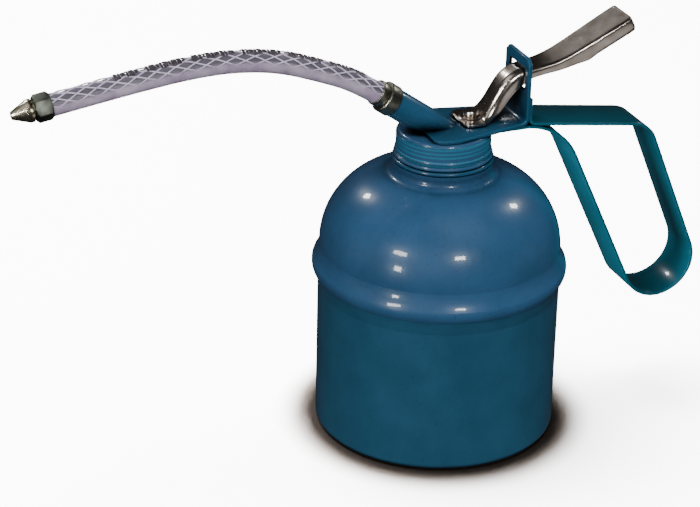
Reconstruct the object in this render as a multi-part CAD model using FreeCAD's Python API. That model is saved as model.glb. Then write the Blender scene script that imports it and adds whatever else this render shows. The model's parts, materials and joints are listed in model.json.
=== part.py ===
import FreeCAD, Part
import math
import os

from FreeCAD import Vector

# Oil can with a thumb lever, a loop handle and a flexible spout, in millimetres.
# The origin is the centre of the base and +Z is up. The spout points to -X and the handle to +X, and the
# plane Y = 0 cuts the whole object in half lengthwise.

# Can: cup, dome and neck
CAN_R = 46.0            # outside of the cup
SHEET = 0.8             # steel sheet of the cup and the dome
BASE_EDGE_R = 2.5       # rounding between the cup's wall and its base
CUP_TOP_Z = 64.4
FLARE_LOW_Z = 57.5       # the cup's wall widens to its mouth between these heights
FLARE_HIGH_Z = 62.5
CUP_MOUTH_R = 46.9      # the cup's mouth is expanded to take the dome's bead
BEAD_FOOT_Z = 63.4
BEAD_Z = 65.5           # widest line of the rolled bead
BEAD_R = 48.35
DOME_R = 45.7           # dome just above the bead
DOME_SPRING_Z = 74.0    # height where the dome starts to curve in
DOME_CURVE_R = 29.5
NECK_BASE_R = 18.8
NECK_FILLET_R = 3.5
DOME_TOP_Z = 108.4
NECK_R = 16.3           # root of the neck's thread
NECK_BORE_R = 15.8
NECK_FLANGE_R = 19.1
NECK_TOP_Z = 118.25

# Screw cap
CAP_R = 17.3            # root of the rolled thread outside
CAP_RIDGE_R = 18.0
CAP_WALL = 0.6
CAP_BOTTOM_Z = 110.6
CAP_TOP_Z = 120.5
CAP_TOP_THICK = 1.2
THREAD_PITCH = 2.0
THREAD_RIDGES = 4

# Bracket and handle
PLATE_THICK = 1.5
PLATE_TOP_Z = CAP_TOP_Z + PLATE_THICK
UPRIGHT_X = 29.0        # face towards the spout
UPRIGHT_HALF = 10.0
UPRIGHT_TOP_Z = 147.0
SLOT_HALF = 6.8
SLOT_Z = (134.0, 142.6)
STRIP_THICK = 1.2
STRIP_HALF = 9.5

# Spout: the first run of the hose gives the line of the stub and the rings
STUB_R = 5.5
STUB_BORE_R = 4.6
HOSE_R = 4.3
HOSE_BORE_R = 2.4
HOSE_START = 2.6        # the hose starts this far inside its nut
HOSE_ROUTE = [
    (-23.16, 135.37),
    (-34.9, 143.8),
    (-49.5, 150.0),
    (-66.0, 156.0),
    (-84.0, 158.4),
    (-101.0, 157.8),
    (-117.2, 155.85),
    (-133.8, 153.5),
    (-150.2, 151.0),
]
TIP_NUT_FLATS = 9.0
TIP_NUT_LONG = 6.0
NOZZLE_LONG = 8.4
NOZZLE_R = 4.2
NOZZLE_NECK_R = 3.2
NOZZLE_NECK = 0.8
NOZZLE_BAND = 1.4
NOZZLE_END_R = 1.45
OUTLET_R = 0.75

HOSE_POINTS = [Vector(x, 0, z) for x, z in HOSE_ROUTE]
STUB_ALONG = (HOSE_POINTS[1] - HOSE_POINTS[0]).normalize()
STUB_END = HOSE_POINTS[0] - STUB_ALONG * HOSE_START
TIP_END = HOSE_POINTS[-1]
TIP_ALONG = (HOSE_POINTS[-1] - HOSE_POINTS[-2]).normalize()

# Pump, which hangs from the cap beside the middle of the can
PUMP_X = 10.85
BARREL_R = 4.6
BARREL_BORE_R = 3.9
BARREL_FOOT_Z = 91.0
BARREL_TOP_Z = CAP_TOP_Z - CAP_TOP_THICK
ROD_R = 1.5
ROD_END_R = 1.2
RUN = 0.05              # radial play of whatever slides
PISTON_Z = 99.0
PORT_CIRCLE_R = 2.4
PORT_R = 0.5
COLLAR_Z = 104.4        # spring seat on the rod
PACKING_Z = 117.7
DIP_TUBE_R = 2.4
DIP_TUBE_BORE_R = 1.7
DIP_TUBE_FOOT_Z = 6.0
INLET_BALL_R = 1.8
DELIVERY_R = 2.0
DELIVERY_BORE_R = 1.2

# Lever
TONGUE_Z = 122.5        # underside of the flat tongue
LEVER_SHEET = 1.0
BALL_Z = 124.65         # centre of the rod's round head
BALL_R = 2.9
BALL_TOP_Z = 126.0

os.makedirs("parts", exist_ok=True)


def save(name, shape):
    shape.exportStep(os.path.join("parts", name + ".step"))
    print(f"{name}: {shape.Volume:.1f} mm3, {len(shape.Solids)} solid, valid {shape.isValid()}")


def face_of(place, start, steps):
    """A flat face. A step is the end of a line, or a point that an arc passes and the arc's end."""
    edges = []
    here = place(*start)
    for step in list(steps) + [start]:
        if isinstance(step[0], tuple):
            through, end = place(*step[0]), place(*step[1])
            edges.append(Part.Arc(here, through, end).toShape())
        else:
            end = place(*step)
            if end.distanceToPoint(here) < 1e-7:
                continue
            edges.append(Part.LineSegment(here, end).toShape())
        here = end
    return Part.Face(Part.Wire(edges))


def turned(x, start, *steps):
    """A solid turned about the vertical line at x, from an outline of (radius, height) points."""
    face = face_of(lambda r, z: Vector(x + r, 0, z), start, steps)
    return face.revolve(Vector(x, 0, 0), Vector(0, 0, 1), 360)


def ring(x, outer, inner, low, high):
    return turned(x, (inner, low), (outer, low), (outer, high), (inner, high))


def disc(x, radius, low, high):
    return Part.makeCylinder(radius, high - low, Vector(x, 0, low))


def across(start, steps, half_width):
    """A solid with an outline in the plane Y = 0, and the same width to both sides."""
    face = face_of(lambda x, z: Vector(x, -half_width, z), start, steps)
    return face.extrude(Vector(0, 2 * half_width, 0))


def on_circle(centre, radius, degrees):
    turn = math.radians(degrees)
    return (centre[0] + radius * math.cos(turn), centre[1] + radius * math.sin(turn))


def rod_between(base, along, radius, start, end):
    return Part.makeCylinder(radius, end - start, base + along * start, along)


def pipe_between(base, along, outer, inner, start, end):
    return rod_between(base, along, outer, start, end).cut(rod_between(base, along, inner, start, end))


def turned_along(base, along, start, *steps):
    """A solid turned about a slanted line, from an outline of (radius, distance along the line) points."""
    outward = along.cross(Vector(0, 1, 0)).normalize()
    face = face_of(lambda r, far: base + along * far + outward * r, start, steps)
    return face.revolve(base, along, 360)


# Can -------------------------------------------------------------------------------------------------


def can_body():
    """Deep-drawn cup with a pressed ring in its base."""
    edge = (CAN_R - BASE_EDGE_R, BASE_EDGE_R)
    inside = CAN_R - SHEET
    groove = (34.0, 39.0)
    return turned(
        0,
        (0, 0),
        (groove[0], 0),
        (groove[0] + SHEET, SHEET),
        (groove[1] - SHEET, SHEET),
        (groove[1], 0),
        (edge[0], 0),
        (on_circle(edge, BASE_EDGE_R, -45), (CAN_R, BASE_EDGE_R)),
        (CAN_R, FLARE_LOW_Z),
        (CUP_MOUTH_R, FLARE_HIGH_Z),
        (CUP_MOUTH_R, CUP_TOP_Z),
        (CUP_MOUTH_R - SHEET, CUP_TOP_Z),
        (CUP_MOUTH_R - SHEET, FLARE_HIGH_Z),
        (inside, FLARE_LOW_Z),
        (inside, BASE_EDGE_R),
        (on_circle(edge, BASE_EDGE_R - SHEET, -45), (edge[0], SHEET)),
        (groove[1] + 0.3, SHEET),
        (groove[1] - 0.5, 2 * SHEET),
        (groove[0] + 0.5, 2 * SHEET),
        (groove[0] - 0.3, SHEET),
        (0, SHEET),
    )


def dome():
    """Drawn shoulder: a rolled bead over the cup's mouth, then a round shoulder up to the neck."""
    shoulder = (DOME_R - DOME_CURVE_R, DOME_SPRING_Z)
    fillet_x = NECK_BASE_R + NECK_FILLET_R
    apart = DOME_CURVE_R + NECK_FILLET_R
    lean = math.degrees(math.acos((fillet_x - shoulder[0]) / apart))
    fillet = on_circle(shoulder, apart, lean)
    inner_curve = DOME_CURVE_R - SHEET
    inner_fillet = NECK_FILLET_R + SHEET
    side = (lean + 180 + 180) / 2
    return turned(
        0,
        (CUP_MOUTH_R, BEAD_FOOT_Z),
        (CUP_MOUTH_R + SHEET, BEAD_FOOT_Z),
        ((BEAD_R, BEAD_Z), (48.1, 67.6)),
        ((46.6, 70.5), (DOME_R, DOME_SPRING_Z)),
        (on_circle(shoulder, DOME_CURVE_R, lean / 2), on_circle(shoulder, DOME_CURVE_R, lean)),
        (on_circle(fillet, NECK_FILLET_R, side), (NECK_BASE_R, fillet[1])),
        (NECK_BASE_R, DOME_TOP_Z),
        (NECK_R, DOME_TOP_Z),
        (NECK_R, DOME_TOP_Z - SHEET),
        (NECK_BASE_R - SHEET, DOME_TOP_Z - SHEET),
        (NECK_BASE_R - SHEET, fillet[1]),
        (on_circle(fillet, inner_fillet, side), on_circle(shoulder, inner_curve, lean)),
        (on_circle(shoulder, inner_curve, lean / 2), (DOME_R - SHEET, DOME_SPRING_Z)),
        ((45.85, 70.2), (47.3, 67.35)),
        ((BEAD_R - SHEET, 66.2), (CUP_MOUTH_R, 65.0)),
    )


def neck():
    """Threaded ferrule soldered into the dome: its flange shows under the cap."""
    flange_top = DOME_TOP_Z + 1.8
    middle = DOME_TOP_Z + 0.9
    steps = [
        (NECK_R, DOME_TOP_Z - 2.0),
        (NECK_R, DOME_TOP_Z),
        (NECK_FLANGE_R - 0.9, DOME_TOP_Z),
        ((NECK_FLANGE_R, middle), (NECK_FLANGE_R - 0.9, flange_top)),
        (NECK_R, flange_top),
        (NECK_R, CAP_BOTTOM_Z),
    ]
    steps += ridges(NECK_R, NECK_R + 0.3, CAP_BOTTOM_Z, 3)
    steps += [(NECK_R, NECK_TOP_Z), (NECK_BORE_R, NECK_TOP_Z)]
    return turned(0, (NECK_BORE_R, DOME_TOP_Z - 2.0), *steps)


def ridges(root, crest, start, count):
    """Steps up the outline of a rolled thread."""
    steps = []
    for number in range(count):
        low = start + number * THREAD_PITCH
        steps.append(((crest, low + THREAD_PITCH / 2), (root, low + THREAD_PITCH)))
    return steps


# Pump head: cap, bracket and handle --------------------------------------------------------------------


def delivery_hole():
    """The slanted hole from the pump barrel up through the cap and the plate."""
    return rod_between(STUB_END, STUB_ALONG, DELIVERY_R, -40, 0)


def screw_cap():
    """Pressed cap with rolled thread ridges."""
    under = BARREL_TOP_Z
    round_from = CAP_BOTTOM_Z + THREAD_RIDGES * THREAD_PITCH
    crown = CAP_TOP_Z - round_from
    centre = (CAP_R - crown, round_from)
    inner_ridges = ridges(CAP_R - CAP_WALL, CAP_RIDGE_R - CAP_WALL, CAP_BOTTOM_Z, THREAD_RIDGES)
    down = []
    for through, end in reversed(inner_ridges):
        down.append((through, (end[0], end[1] - THREAD_PITCH)))
    outline = [(CAP_R, CAP_BOTTOM_Z)]
    outline += ridges(CAP_R, CAP_RIDGE_R, CAP_BOTTOM_Z, THREAD_RIDGES)
    outline += [
        (on_circle(centre, crown, 45), (CAP_R - crown, CAP_TOP_Z)),
        (0, CAP_TOP_Z),
        (0, under),
        (CAP_R - CAP_WALL, under),
        (CAP_R - CAP_WALL, round_from),
    ]
    cap = turned(0, (CAP_R - CAP_WALL, CAP_BOTTOM_Z), *outline, *down)
    bush_hole = disc(PUMP_X, BARREL_BORE_R - 0.5, under - 1, CAP_TOP_Z + 1)
    return cap.cut(bush_hole).cut(delivery_hole())


def bracket():
    """Pear-shaped plate on the cap, bent up at the back into an upright with the lever's slot."""
    inner = 2.0
    outer = inner + PLATE_THICK
    back = UPRIGHT_X + PLATE_THICK
    bend = (UPRIGHT_X - inner, PLATE_TOP_Z + inner)
    front = -9.6
    side_view = across(
        (front, CAP_TOP_Z),
        [
            (bend[0], CAP_TOP_Z),
            (on_circle(bend, outer, -45), (back, bend[1])),
            (back, UPRIGHT_TOP_Z),
            (UPRIGHT_X, UPRIGHT_TOP_Z),
            (UPRIGHT_X, bend[1]),
            (on_circle(bend, inner, -45), (bend[0], PLATE_TOP_Z)),
            (front, PLATE_TOP_Z),
        ],
        20,
    )
    plan = face_of(
        lambda x, y: Vector(x, y, CAP_TOP_Z - 1),
        (front, -11.0),
        [
            ((-8.1, -14.4), (-4.6, -15.8)),
            ((-1.5, -16.2), (1.6, -15.8)),
            (26.5, -UPRIGHT_HALF),
            (back + 1, -UPRIGHT_HALF),
            (back + 1, UPRIGHT_HALF),
            (26.5, UPRIGHT_HALF),
            (1.6, 15.8),
            ((-1.5, 16.2), (-4.6, 15.8)),
            ((-8.1, 14.4), (front, 11.0)),
        ],
    ).extrude(Vector(0, 0, 40))
    clip = 2.2
    front_view = face_of(
        lambda y, z: Vector(UPRIGHT_X - 60, y, z),
        (-20, CAP_TOP_Z - 1),
        [
            (20, CAP_TOP_Z - 1),
            (20, PLATE_TOP_Z + 5),
            (UPRIGHT_HALF, PLATE_TOP_Z + 5),
            (UPRIGHT_HALF, UPRIGHT_TOP_Z - clip),
            (UPRIGHT_HALF - clip, UPRIGHT_TOP_Z),
            (clip - UPRIGHT_HALF, UPRIGHT_TOP_Z),
            (-UPRIGHT_HALF, UPRIGHT_TOP_Z - clip),
            (-UPRIGHT_HALF, PLATE_TOP_Z + 5),
            (-20, PLATE_TOP_Z + 5),
        ],
    ).extrude(Vector(80, 0, 0))
    slot = Part.makeBox(10, 2 * SLOT_HALF, SLOT_Z[1] - SLOT_Z[0], Vector(UPRIGHT_X - 5, -SLOT_HALF, SLOT_Z[0]))
    bush_hole = disc(PUMP_X, BARREL_BORE_R - 0.5, CAP_TOP_Z - 1, PLATE_TOP_Z + 1)
    return side_view.common(plan).common(front_view).cut(slot).cut(bush_hole).cut(delivery_hole())


def strip_side(corners, offset):
    """One side of a bent strip: steps along its centre line, moved to its left by offset."""
    points = [Vector(x, 0, z) for x, z, _ in corners]
    steps = []
    last = len(points) - 1
    for number, here in enumerate(points):
        before = points[number - 1] if number else None
        after = points[number + 1] if number < last else None
        ahead = (after - here).normalize() if after else (here - before).normalize()
        behind = (here - before).normalize() if before else ahead
        left_behind = Vector(-behind.z, 0, behind.x)
        left_ahead = Vector(-ahead.z, 0, ahead.x)
        if before is None or after is None:
            end = here + left_ahead * offset
            steps.append((end.x, end.z))
            continue
        turn = behind.getAngle(ahead)
        radius = corners[number][2]
        side = 1 if behind.cross(ahead).y < 0 else -1
        tangent = radius * math.tan(turn / 2)
        start = here - behind * tangent
        centre = start + left_behind * (radius * side)
        enter = start + left_behind * offset
        leave = here + ahead * tangent + left_ahead * offset
        towards = (here - centre).normalize()
        middle = centre + towards * (radius - side * offset)
        steps.append((enter.x, enter.z))
        steps.append(((middle.x, middle.z), (leave.x, leave.z)))
    return steps


def reversed_steps(steps):
    """The same line walked backwards."""
    ends = [step[1] if isinstance(step[0], tuple) else step for step in steps]
    back = [ends[-1]]
    for number in range(len(steps) - 1, 0, -1):
        target = ends[number - 1]
        if isinstance(steps[number][0], tuple):
            back.append((steps[number][0], target))
        else:
            back.append(target)
    return back


def handle():
    """One strip: welded to the upright, bent down and round into a loop, its end back under the plate."""
    corners = [
        (UPRIGHT_X + PLATE_THICK + STRIP_THICK / 2, 131.2, 0),
        (UPRIGHT_X + PLATE_THICK + STRIP_THICK / 2, 121.1, 2.6),
        (82.0, 113.6, 11.4),
        (109.3, 47.0, 14.3),
        (83.1, 35.6, 14.3),
        (45.2, 117.7, 25.0),
        (30.7, 119.85, 5.0),
        (19.6, 119.85, 0),
    ]
    out = strip_side(corners, STRIP_THICK / 2)
    back = reversed_steps(strip_side(corners, -STRIP_THICK / 2))
    return across(out[0], out[1:] + back, STRIP_HALF)


# Spout ---------------------------------------------------------------------------------------------------


def spout_stub(plate):
    """Slanted tube whose foot is cut to sit on the plate and, past the plate's front, on the cap."""
    along = STUB_ALONG
    tube = pipe_between(STUB_END, along, STUB_R, STUB_BORE_R, -34, HOSE_START)
    above = Part.makeBox(60, 40, 40, Vector(-45, -20, CAP_TOP_Z))
    beside = Part.makeBox(30, 40, 2, Vector(-9.6, -20, CAP_TOP_Z))
    floor_cut = beside.cut(Part.makeBox(30, 40, 2, Vector(-9.6, -20, PLATE_TOP_Z)))
    return tube.common(above).cut(floor_cut).cut(plate)


def hose_nut():
    """Ring over the end of the stub and the start of the hose."""
    outer = 6.0
    edge = 0.4
    long = 5.1
    return turned_along(
        STUB_END,
        STUB_ALONG,
        (STUB_R, 0),
        (outer - edge, 0),
        (outer, edge),
        (outer, long - edge),
        (outer - edge, long),
        (HOSE_R, long),
        (HOSE_R, HOSE_START),
        (STUB_R, HOSE_START),
    )


def hose_collar():
    """Crimped ring, a little slimmer, past the nut."""
    return pipe_between(STUB_END, STUB_ALONG, 4.95, HOSE_R, 5.1, 8.3)


def hose_barb():
    """Tail inside the stub and the hose, with a socket for the delivery tube."""
    along = STUB_ALONG
    flange = rod_between(STUB_END, along, STUB_BORE_R, HOSE_START - 3, HOSE_START)
    tail = rod_between(STUB_END, along, HOSE_BORE_R, HOSE_START, HOSE_START + 5.5)
    socket = rod_between(STUB_END, along, DELIVERY_R, HOSE_START - 3, HOSE_START - 1.5)
    bore = rod_between(STUB_END, along, DELIVERY_BORE_R, HOSE_START - 4, HOSE_START + 6)
    return flange.fuse(tail).removeSplitter().cut(socket).cut(bore)


def delivery_tube():
    """Pipe from the barrel's side port to the barb."""
    along = STUB_ALONG
    pipe = pipe_between(STUB_END, along, DELIVERY_R, DELIVERY_BORE_R, -38, HOSE_START - 1.5)
    return pipe.cut(disc(PUMP_X, BARREL_BORE_R, 90, BARREL_TOP_Z + 10)).common(
        Part.makeBox(60, 20, 60, Vector(PUMP_X - 60, -10, 100))
    )


def hose_path():
    """Straight runs joined by tangent arcs, each as large as its two runs allow."""
    points = HOSE_POINTS
    edges = []
    here = points[0]
    for before, corner, after in zip(points, points[1:], points[2:]):
        arriving = corner - before
        leaving = after - corner
        turn = arriving.getAngle(leaving)
        reach = 0.45 * min(arriving.Length, leaving.Length)
        radius = reach / math.tan(turn / 2)
        print(f"hose bend at {corner.x:.1f}: turn {math.degrees(turn):.1f} degrees, radius {radius:.0f} mm")
        enter = corner - arriving.normalize() * reach
        leave = corner + leaving.normalize() * reach
        inward = (leaving - arriving).normalize()
        centre = corner + inward * (radius / math.cos(turn / 2))
        middle = centre - inward * radius
        edges.append(Part.LineSegment(here, enter).toShape())
        edges.append(Part.Arc(enter, middle, leave).toShape())
        here = leave
    edges.append(Part.LineSegment(here, points[-1]).toShape())
    return Part.Wire(edges)


def hose():
    """Braided hose of one wall thickness."""
    path = hose_path()
    tubes = []
    for radius in (HOSE_R, HOSE_BORE_R):
        circle = Part.Wire(Part.makeCircle(radius, HOSE_POINTS[0], STUB_ALONG))
        tubes.append(path.makePipeShell([circle], True, True))
    section = math.pi * (HOSE_R**2 - HOSE_BORE_R**2)
    tube = tubes[0].cut(tubes[1])
    print(f"hose length {path.Length:.1f} mm, volume over section times length {tube.Volume / section / path.Length:.4f}")
    return tube


def tip_insert():
    """Barbed tail in the far end of the hose."""
    end, along = TIP_END, TIP_ALONG
    flange = rod_between(end, along, 3.2, 0, 1.5)
    tail = rod_between(end, along, HOSE_BORE_R, -5.5, 0)
    bore = rod_between(end, along, DELIVERY_BORE_R, -6, 2)
    return flange.fuse(tail).removeSplitter().cut(bore)


def tip_nut():
    """Hexagon with turned-down corners that holds the nozzle to the tail."""
    end, along = TIP_END, TIP_ALONG
    corner_r = TIP_NUT_FLATS / math.sqrt(3)
    upward = along.cross(Vector(0, 1, 0)).normalize()
    if upward.z < 0:
        upward = upward * -1
    corners = []
    for number in range(7):
        turn = math.radians(60 * number + 20)
        corners.append(end + (upward * math.cos(turn) + Vector(0, 1, 0) * math.sin(turn)) * corner_r)
    prism = Part.Face(Part.makePolygon(corners)).extrude(along * TIP_NUT_LONG)
    long_cone = 12.0
    rim = TIP_NUT_FLATS / 2 - 0.1
    cone_far = Part.makeCone(rim, rim + long_cone, long_cone, end, along)
    cone_near = Part.makeCone(rim + long_cone, rim, long_cone, end + along * (TIP_NUT_LONG - long_cone), along)
    nut = prism.common(cone_far).common(cone_near)
    pocket = rod_between(end, along, 3.2, 0, 3.5)
    bore = rod_between(end, along, 2.6, -1, TIP_NUT_LONG + 1)
    return nut.cut(pocket).cut(bore)


def nozzle():
    """Turned tip: a shank in the nut, a narrow neck, a band and a cone down to the outlet."""
    end, along = TIP_END, TIP_ALONG
    base = TIP_NUT_LONG
    shank = rod_between(end, along, 2.6, 1.5, base)
    band_start, cone_start = base + NOZZLE_NECK, base + NOZZLE_NECK + NOZZLE_BAND
    neck_down = rod_between(end, along, NOZZLE_NECK_R, base, band_start)
    band = rod_between(end, along, NOZZLE_R, band_start, cone_start)
    cone = Part.makeCone(
        NOZZLE_R, NOZZLE_END_R, base + NOZZLE_LONG - cone_start, end + along * cone_start, along
    )
    bore = rod_between(end, along, DELIVERY_BORE_R, 0, base + 3.0)
    outlet = rod_between(end, along, OUTLET_R, 0, base + NOZZLE_LONG + 1)
    return shank.fuse(neck_down).fuse(band).fuse(cone).removeSplitter().cut(bore).cut(outlet)


# Pump ----------------------------------------------------------------------------------------------------


def gland_bush():
    """Guide of the rod, through the cap and the plate, with a flange in the top of the barrel."""
    body_r = BARREL_BORE_R - 0.5
    low = PACKING_Z + 0.8
    return turned(
        PUMP_X,
        (ROD_R + RUN, low),
        (BARREL_BORE_R, low),
        (BARREL_BORE_R, BARREL_TOP_Z),
        (body_r, BARREL_TOP_Z),
        (body_r, PLATE_TOP_Z),
        (ROD_R + RUN, PLATE_TOP_Z),
    )


def pump_barrel():
    """Cylinder brazed under the cap, with a side port for the delivery tube."""
    tube = ring(PUMP_X, BARREL_R, BARREL_BORE_R, BARREL_FOOT_Z, BARREL_TOP_Z)
    return tube.cut(delivery_hole())


def foot_valve():
    """Plug in the foot of the barrel: socket for the dip tube, ball seat and ball chamber."""
    foot = BARREL_FOOT_Z
    plug = turned(
        PUMP_X,
        (DIP_TUBE_R, foot - 7.0),
        (DIP_TUBE_R + 1.2, foot - 7.0),
        (DIP_TUBE_R + 1.2, foot - 4.0),
        (BARREL_R, foot - 4.0),
        (BARREL_R, foot),
        (BARREL_BORE_R, foot),
        (BARREL_BORE_R, foot + 4.0),
        (INLET_BALL_R + 0.6, foot + 4.0),
        (INLET_BALL_R + 0.6, foot - 2.0),
        (1.3, foot - 2.0),
        (1.3, foot - 3.4),
        (DIP_TUBE_R, foot - 3.4),
    )
    return plug.cut(pin_across())


def pin_across():
    """The ball stop's line: a thin pin through the plug, above the ball."""
    return Part.makeCylinder(
        0.4, 2 * BARREL_BORE_R - 0.3, Vector(PUMP_X, 0.15 - BARREL_BORE_R, BARREL_FOOT_Z + 2.9), Vector(0, 1, 0)
    )


def inlet_ball():
    seat = BARREL_FOOT_Z - 2.0
    lift = math.sqrt(INLET_BALL_R**2 - 1.3**2) + 0.03
    return Part.makeSphere(INLET_BALL_R, Vector(PUMP_X, 0, seat + lift))


def strainer():
    """Gauze thimble over the foot of the dip tube."""
    return turned(
        PUMP_X,
        (0, 4.0),
        (3.0, 4.0),
        (3.0, 12.0),
        (DIP_TUBE_R, 12.0),
        (DIP_TUBE_R, 4.6),
        (0, 4.6),
    )


def ported(shape):
    """Drill the four oil ports through a disc of the plunger."""
    for number in range(4):
        turn = math.radians(90 * number + 45)
        place = Vector(PUMP_X + PORT_CIRCLE_R * math.cos(turn), PORT_CIRCLE_R * math.sin(turn), PISTON_Z - 3)
        shape = shape.cut(Part.makeCylinder(PORT_R, 10, place))
    return shape


def piston():
    rim = BARREL_BORE_R - RUN
    body = turned(
        PUMP_X,
        (ROD_END_R, PISTON_Z),
        (3.2, PISTON_Z),
        (3.2, PISTON_Z + 3.0),
        (rim, PISTON_Z + 3.0),
        (rim, PISTON_Z + 4.0),
        (ROD_END_R, PISTON_Z + 4.0),
    )
    return ported(body)


def cup_leather():
    rim = BARREL_BORE_R - RUN
    cup = turned(
        PUMP_X,
        (ROD_END_R, PISTON_Z - 0.8),
        (rim, PISTON_Z - 0.8),
        (rim, PISTON_Z + 2.9),
        (3.2, PISTON_Z + 2.9),
        (3.2, PISTON_Z),
        (ROD_END_R, PISTON_Z),
    )
    return ported(cup)


def piston_nut():
    """Small hexagon nut under the cup leather."""
    corners = []
    for number in range(7):
        turn = math.radians(60 * number)
        corners.append(Vector(PUMP_X + 1.88 * math.cos(turn), 1.88 * math.sin(turn), PISTON_Z - 2.4))
    prism = Part.Face(Part.makePolygon(corners)).extrude(Vector(0, 0, 1.6))
    return prism.cut(disc(PUMP_X, ROD_END_R, PISTON_Z - 4, PISTON_Z))


def lever_rod():
    """Plunger rod: thin end for the piston, spring seat, shank and the round head in the lever."""
    shank = turned(
        PUMP_X,
        (0, PISTON_Z - 3.0),
        (ROD_END_R, PISTON_Z - 3.0),
        (ROD_END_R, PISTON_Z + 4.0),
        (ROD_R, PISTON_Z + 4.0),
        (ROD_R, COLLAR_Z),
        (3.2, COLLAR_Z),
        (3.2, COLLAR_Z + 1.0),
        (ROD_R, COLLAR_Z + 1.0),
        (ROD_R, BALL_Z),
        (0, BALL_Z),
    )
    ball = Part.makeSphere(BALL_R, Vector(PUMP_X, 0, BALL_Z))
    flat_top = Part.makeBox(10, 10, 10, Vector(PUMP_X - 5, -5, BALL_TOP_Z - 10))
    return shank.fuse(ball.common(flat_top)).removeSplitter()


def return_spring():
    """Compression spring between the packing and the rod's collar."""
    wire_r = 0.3
    mean_r = 2.6
    low = COLLAR_Z + 1.0 + wire_r + 0.02
    high = PACKING_Z - wire_r - 0.02
    turns = 7
    helix = Part.makeHelix((high - low) / turns, high - low, mean_r)
    circle = Part.Wire(Part.makeCircle(wire_r, Vector(mean_r, 0, 0), Vector(0, 1, 0)))
    coil = Part.Wire(helix.Edges).makePipeShell([circle], True, True)
    coil.translate(Vector(PUMP_X, 0, low))
    return coil


# Lever -----------------------------------------------------------------------------------------------------


def lever_section(x, z, degrees, half, deep, lip):
    """One cross-section of the pressed channel, square to its run."""
    turn = math.radians(degrees)
    normal = Vector(-math.sin(turn), 0, math.cos(turn))
    thick = LEVER_SHEET
    soft = 1.5
    outline = [
        (-half + lip, -deep),
        (-half, -deep),
        (-half, -soft),
        (-half + soft, 0),
        (half - soft, 0),
        (half, -soft),
        (half, -deep),
        (half - lip, -deep),
        (half - lip, thick - deep),
        (half - thick, thick - deep),
        (half - thick, -soft - 0.2),
        (half - soft - 0.2, -thick),
        (-half + soft + 0.2, -thick),
        (-half + thick, -soft - 0.2),
        (-half + thick, thick - deep),
        (-half + lip, thick - deep),
    ]
    points = [Vector(x, y, z) + normal * up for y, up in outline]
    return Part.makePolygon(points + [points[0]])


def lever():
    """One pressed sheet: flat tongue, channel through the slot, and a wide wrapped thumb end."""
    narrow = LEVER_SHEET + 0.3
    stations = [
        (14.2, 123.5, 64, 5.5, 3.0, narrow),
        (17.0, 129.3, 62, 5.3, 4.4, narrow),
        (20.6, 135.3, 55, 5.3, 5.2, narrow),
        (23.6, 138.8, 40, 5.3, 5.6, narrow),
        (27.4, 140.9, 17, 5.3, 5.4, narrow),
        (31.5, 141.6, 7, 5.4, 4.5, narrow),
        (37.3, 142.2, 9, 5.8, 3.9, narrow),
        (43.4, 143.6, 18, 6.4, 4.3, 1.8),
        (48.5, 145.7, 24, 6.7, 5.2, 2.4),
        (53.6, 148.2, 27, 7.0, 6.6, 4.2),
        (62.0, 152.5, 27, 7.4, 6.5, 4.8),
        (72.0, 157.5, 27, 7.7, 6.4, 5.0),
    ]
    channel = Part.makeLoft([lever_section(*station) for station in stations], True, True)
    front = 5.6
    tongue = face_of(
        lambda x, y: Vector(x, y, TONGUE_Z),
        (front, -5.0),
        [
            ((6.3, -7.2), (8.6, -8.0)),
            (12.2, -8.0),
            (15.2, -5.5),
            (15.2, 5.5),
            (12.2, 8.0),
            (8.6, 8.0),
            ((6.3, 7.2), (front, 5.0)),
        ],
    ).extrude(Vector(0, 0, LEVER_SHEET))
    seat_ring = turned(
        PUMP_X,
        (0, TONGUE_Z + 0.5),
        (4.6, TONGUE_Z + 0.5),
        (4.6, TONGUE_Z + LEVER_SHEET),
        (3.9, TONGUE_Z + LEVER_SHEET + 0.6),
        (0, TONGUE_Z + LEVER_SHEET + 0.6),
    )
    hole = disc(PUMP_X, 2.5, TONGUE_Z - 1, TONGUE_Z + 3)
    seat = Part.makeSphere(BALL_R + RUN, Vector(PUMP_X, 0, BALL_Z))
    return tongue.fuse(seat_ring).fuse(channel).removeSplitter().cut(hole).cut(seat)


plate = bracket()
save("can_body", can_body())
save("dome", dome())
save("neck", neck())
save("screw_cap", screw_cap())
save("cap_gasket", ring(0, CAP_R - CAP_WALL - 0.2, NECK_BORE_R - 0.25, BARREL_TOP_Z - 1.0, BARREL_TOP_Z))
save("bracket", plate)
save("handle", handle())
save("spout_stub", spout_stub(plate))
save("hose_nut", hose_nut())
save("hose_collar", hose_collar())
save("hose_barb", hose_barb())
save("delivery_tube", delivery_tube())
save("hose", hose())
save("tip_insert", tip_insert())
save("tip_nut", tip_nut())
save("nozzle", nozzle())
save("gland_bush", gland_bush())
save("packing_washer", ring(PUMP_X, BARREL_BORE_R, ROD_R + RUN, PACKING_Z, PACKING_Z + 0.8))
save("pump_barrel", pump_barrel())
save("foot_valve", foot_valve())
save("ball_stop", pin_across())
save("inlet_ball", inlet_ball())
save("dip_tube", ring(PUMP_X, DIP_TUBE_R, DIP_TUBE_BORE_R, DIP_TUBE_FOOT_Z, BARREL_FOOT_Z - 3.4))
save("strainer", strainer())
save("piston", piston())
save("cup_leather", cup_leather())
save("piston_nut", piston_nut())
save("piston_valve", ring(PUMP_X, 3.5, ROD_R + 0.08, PISTON_Z + 4.05, PISTON_Z + 4.5))
save("lever_rod", lever_rod())
save("return_spring", return_spring())
save("lever", lever())
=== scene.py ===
import json
import math

import bmesh
import bpy
from mathutils import Matrix, Vector

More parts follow.
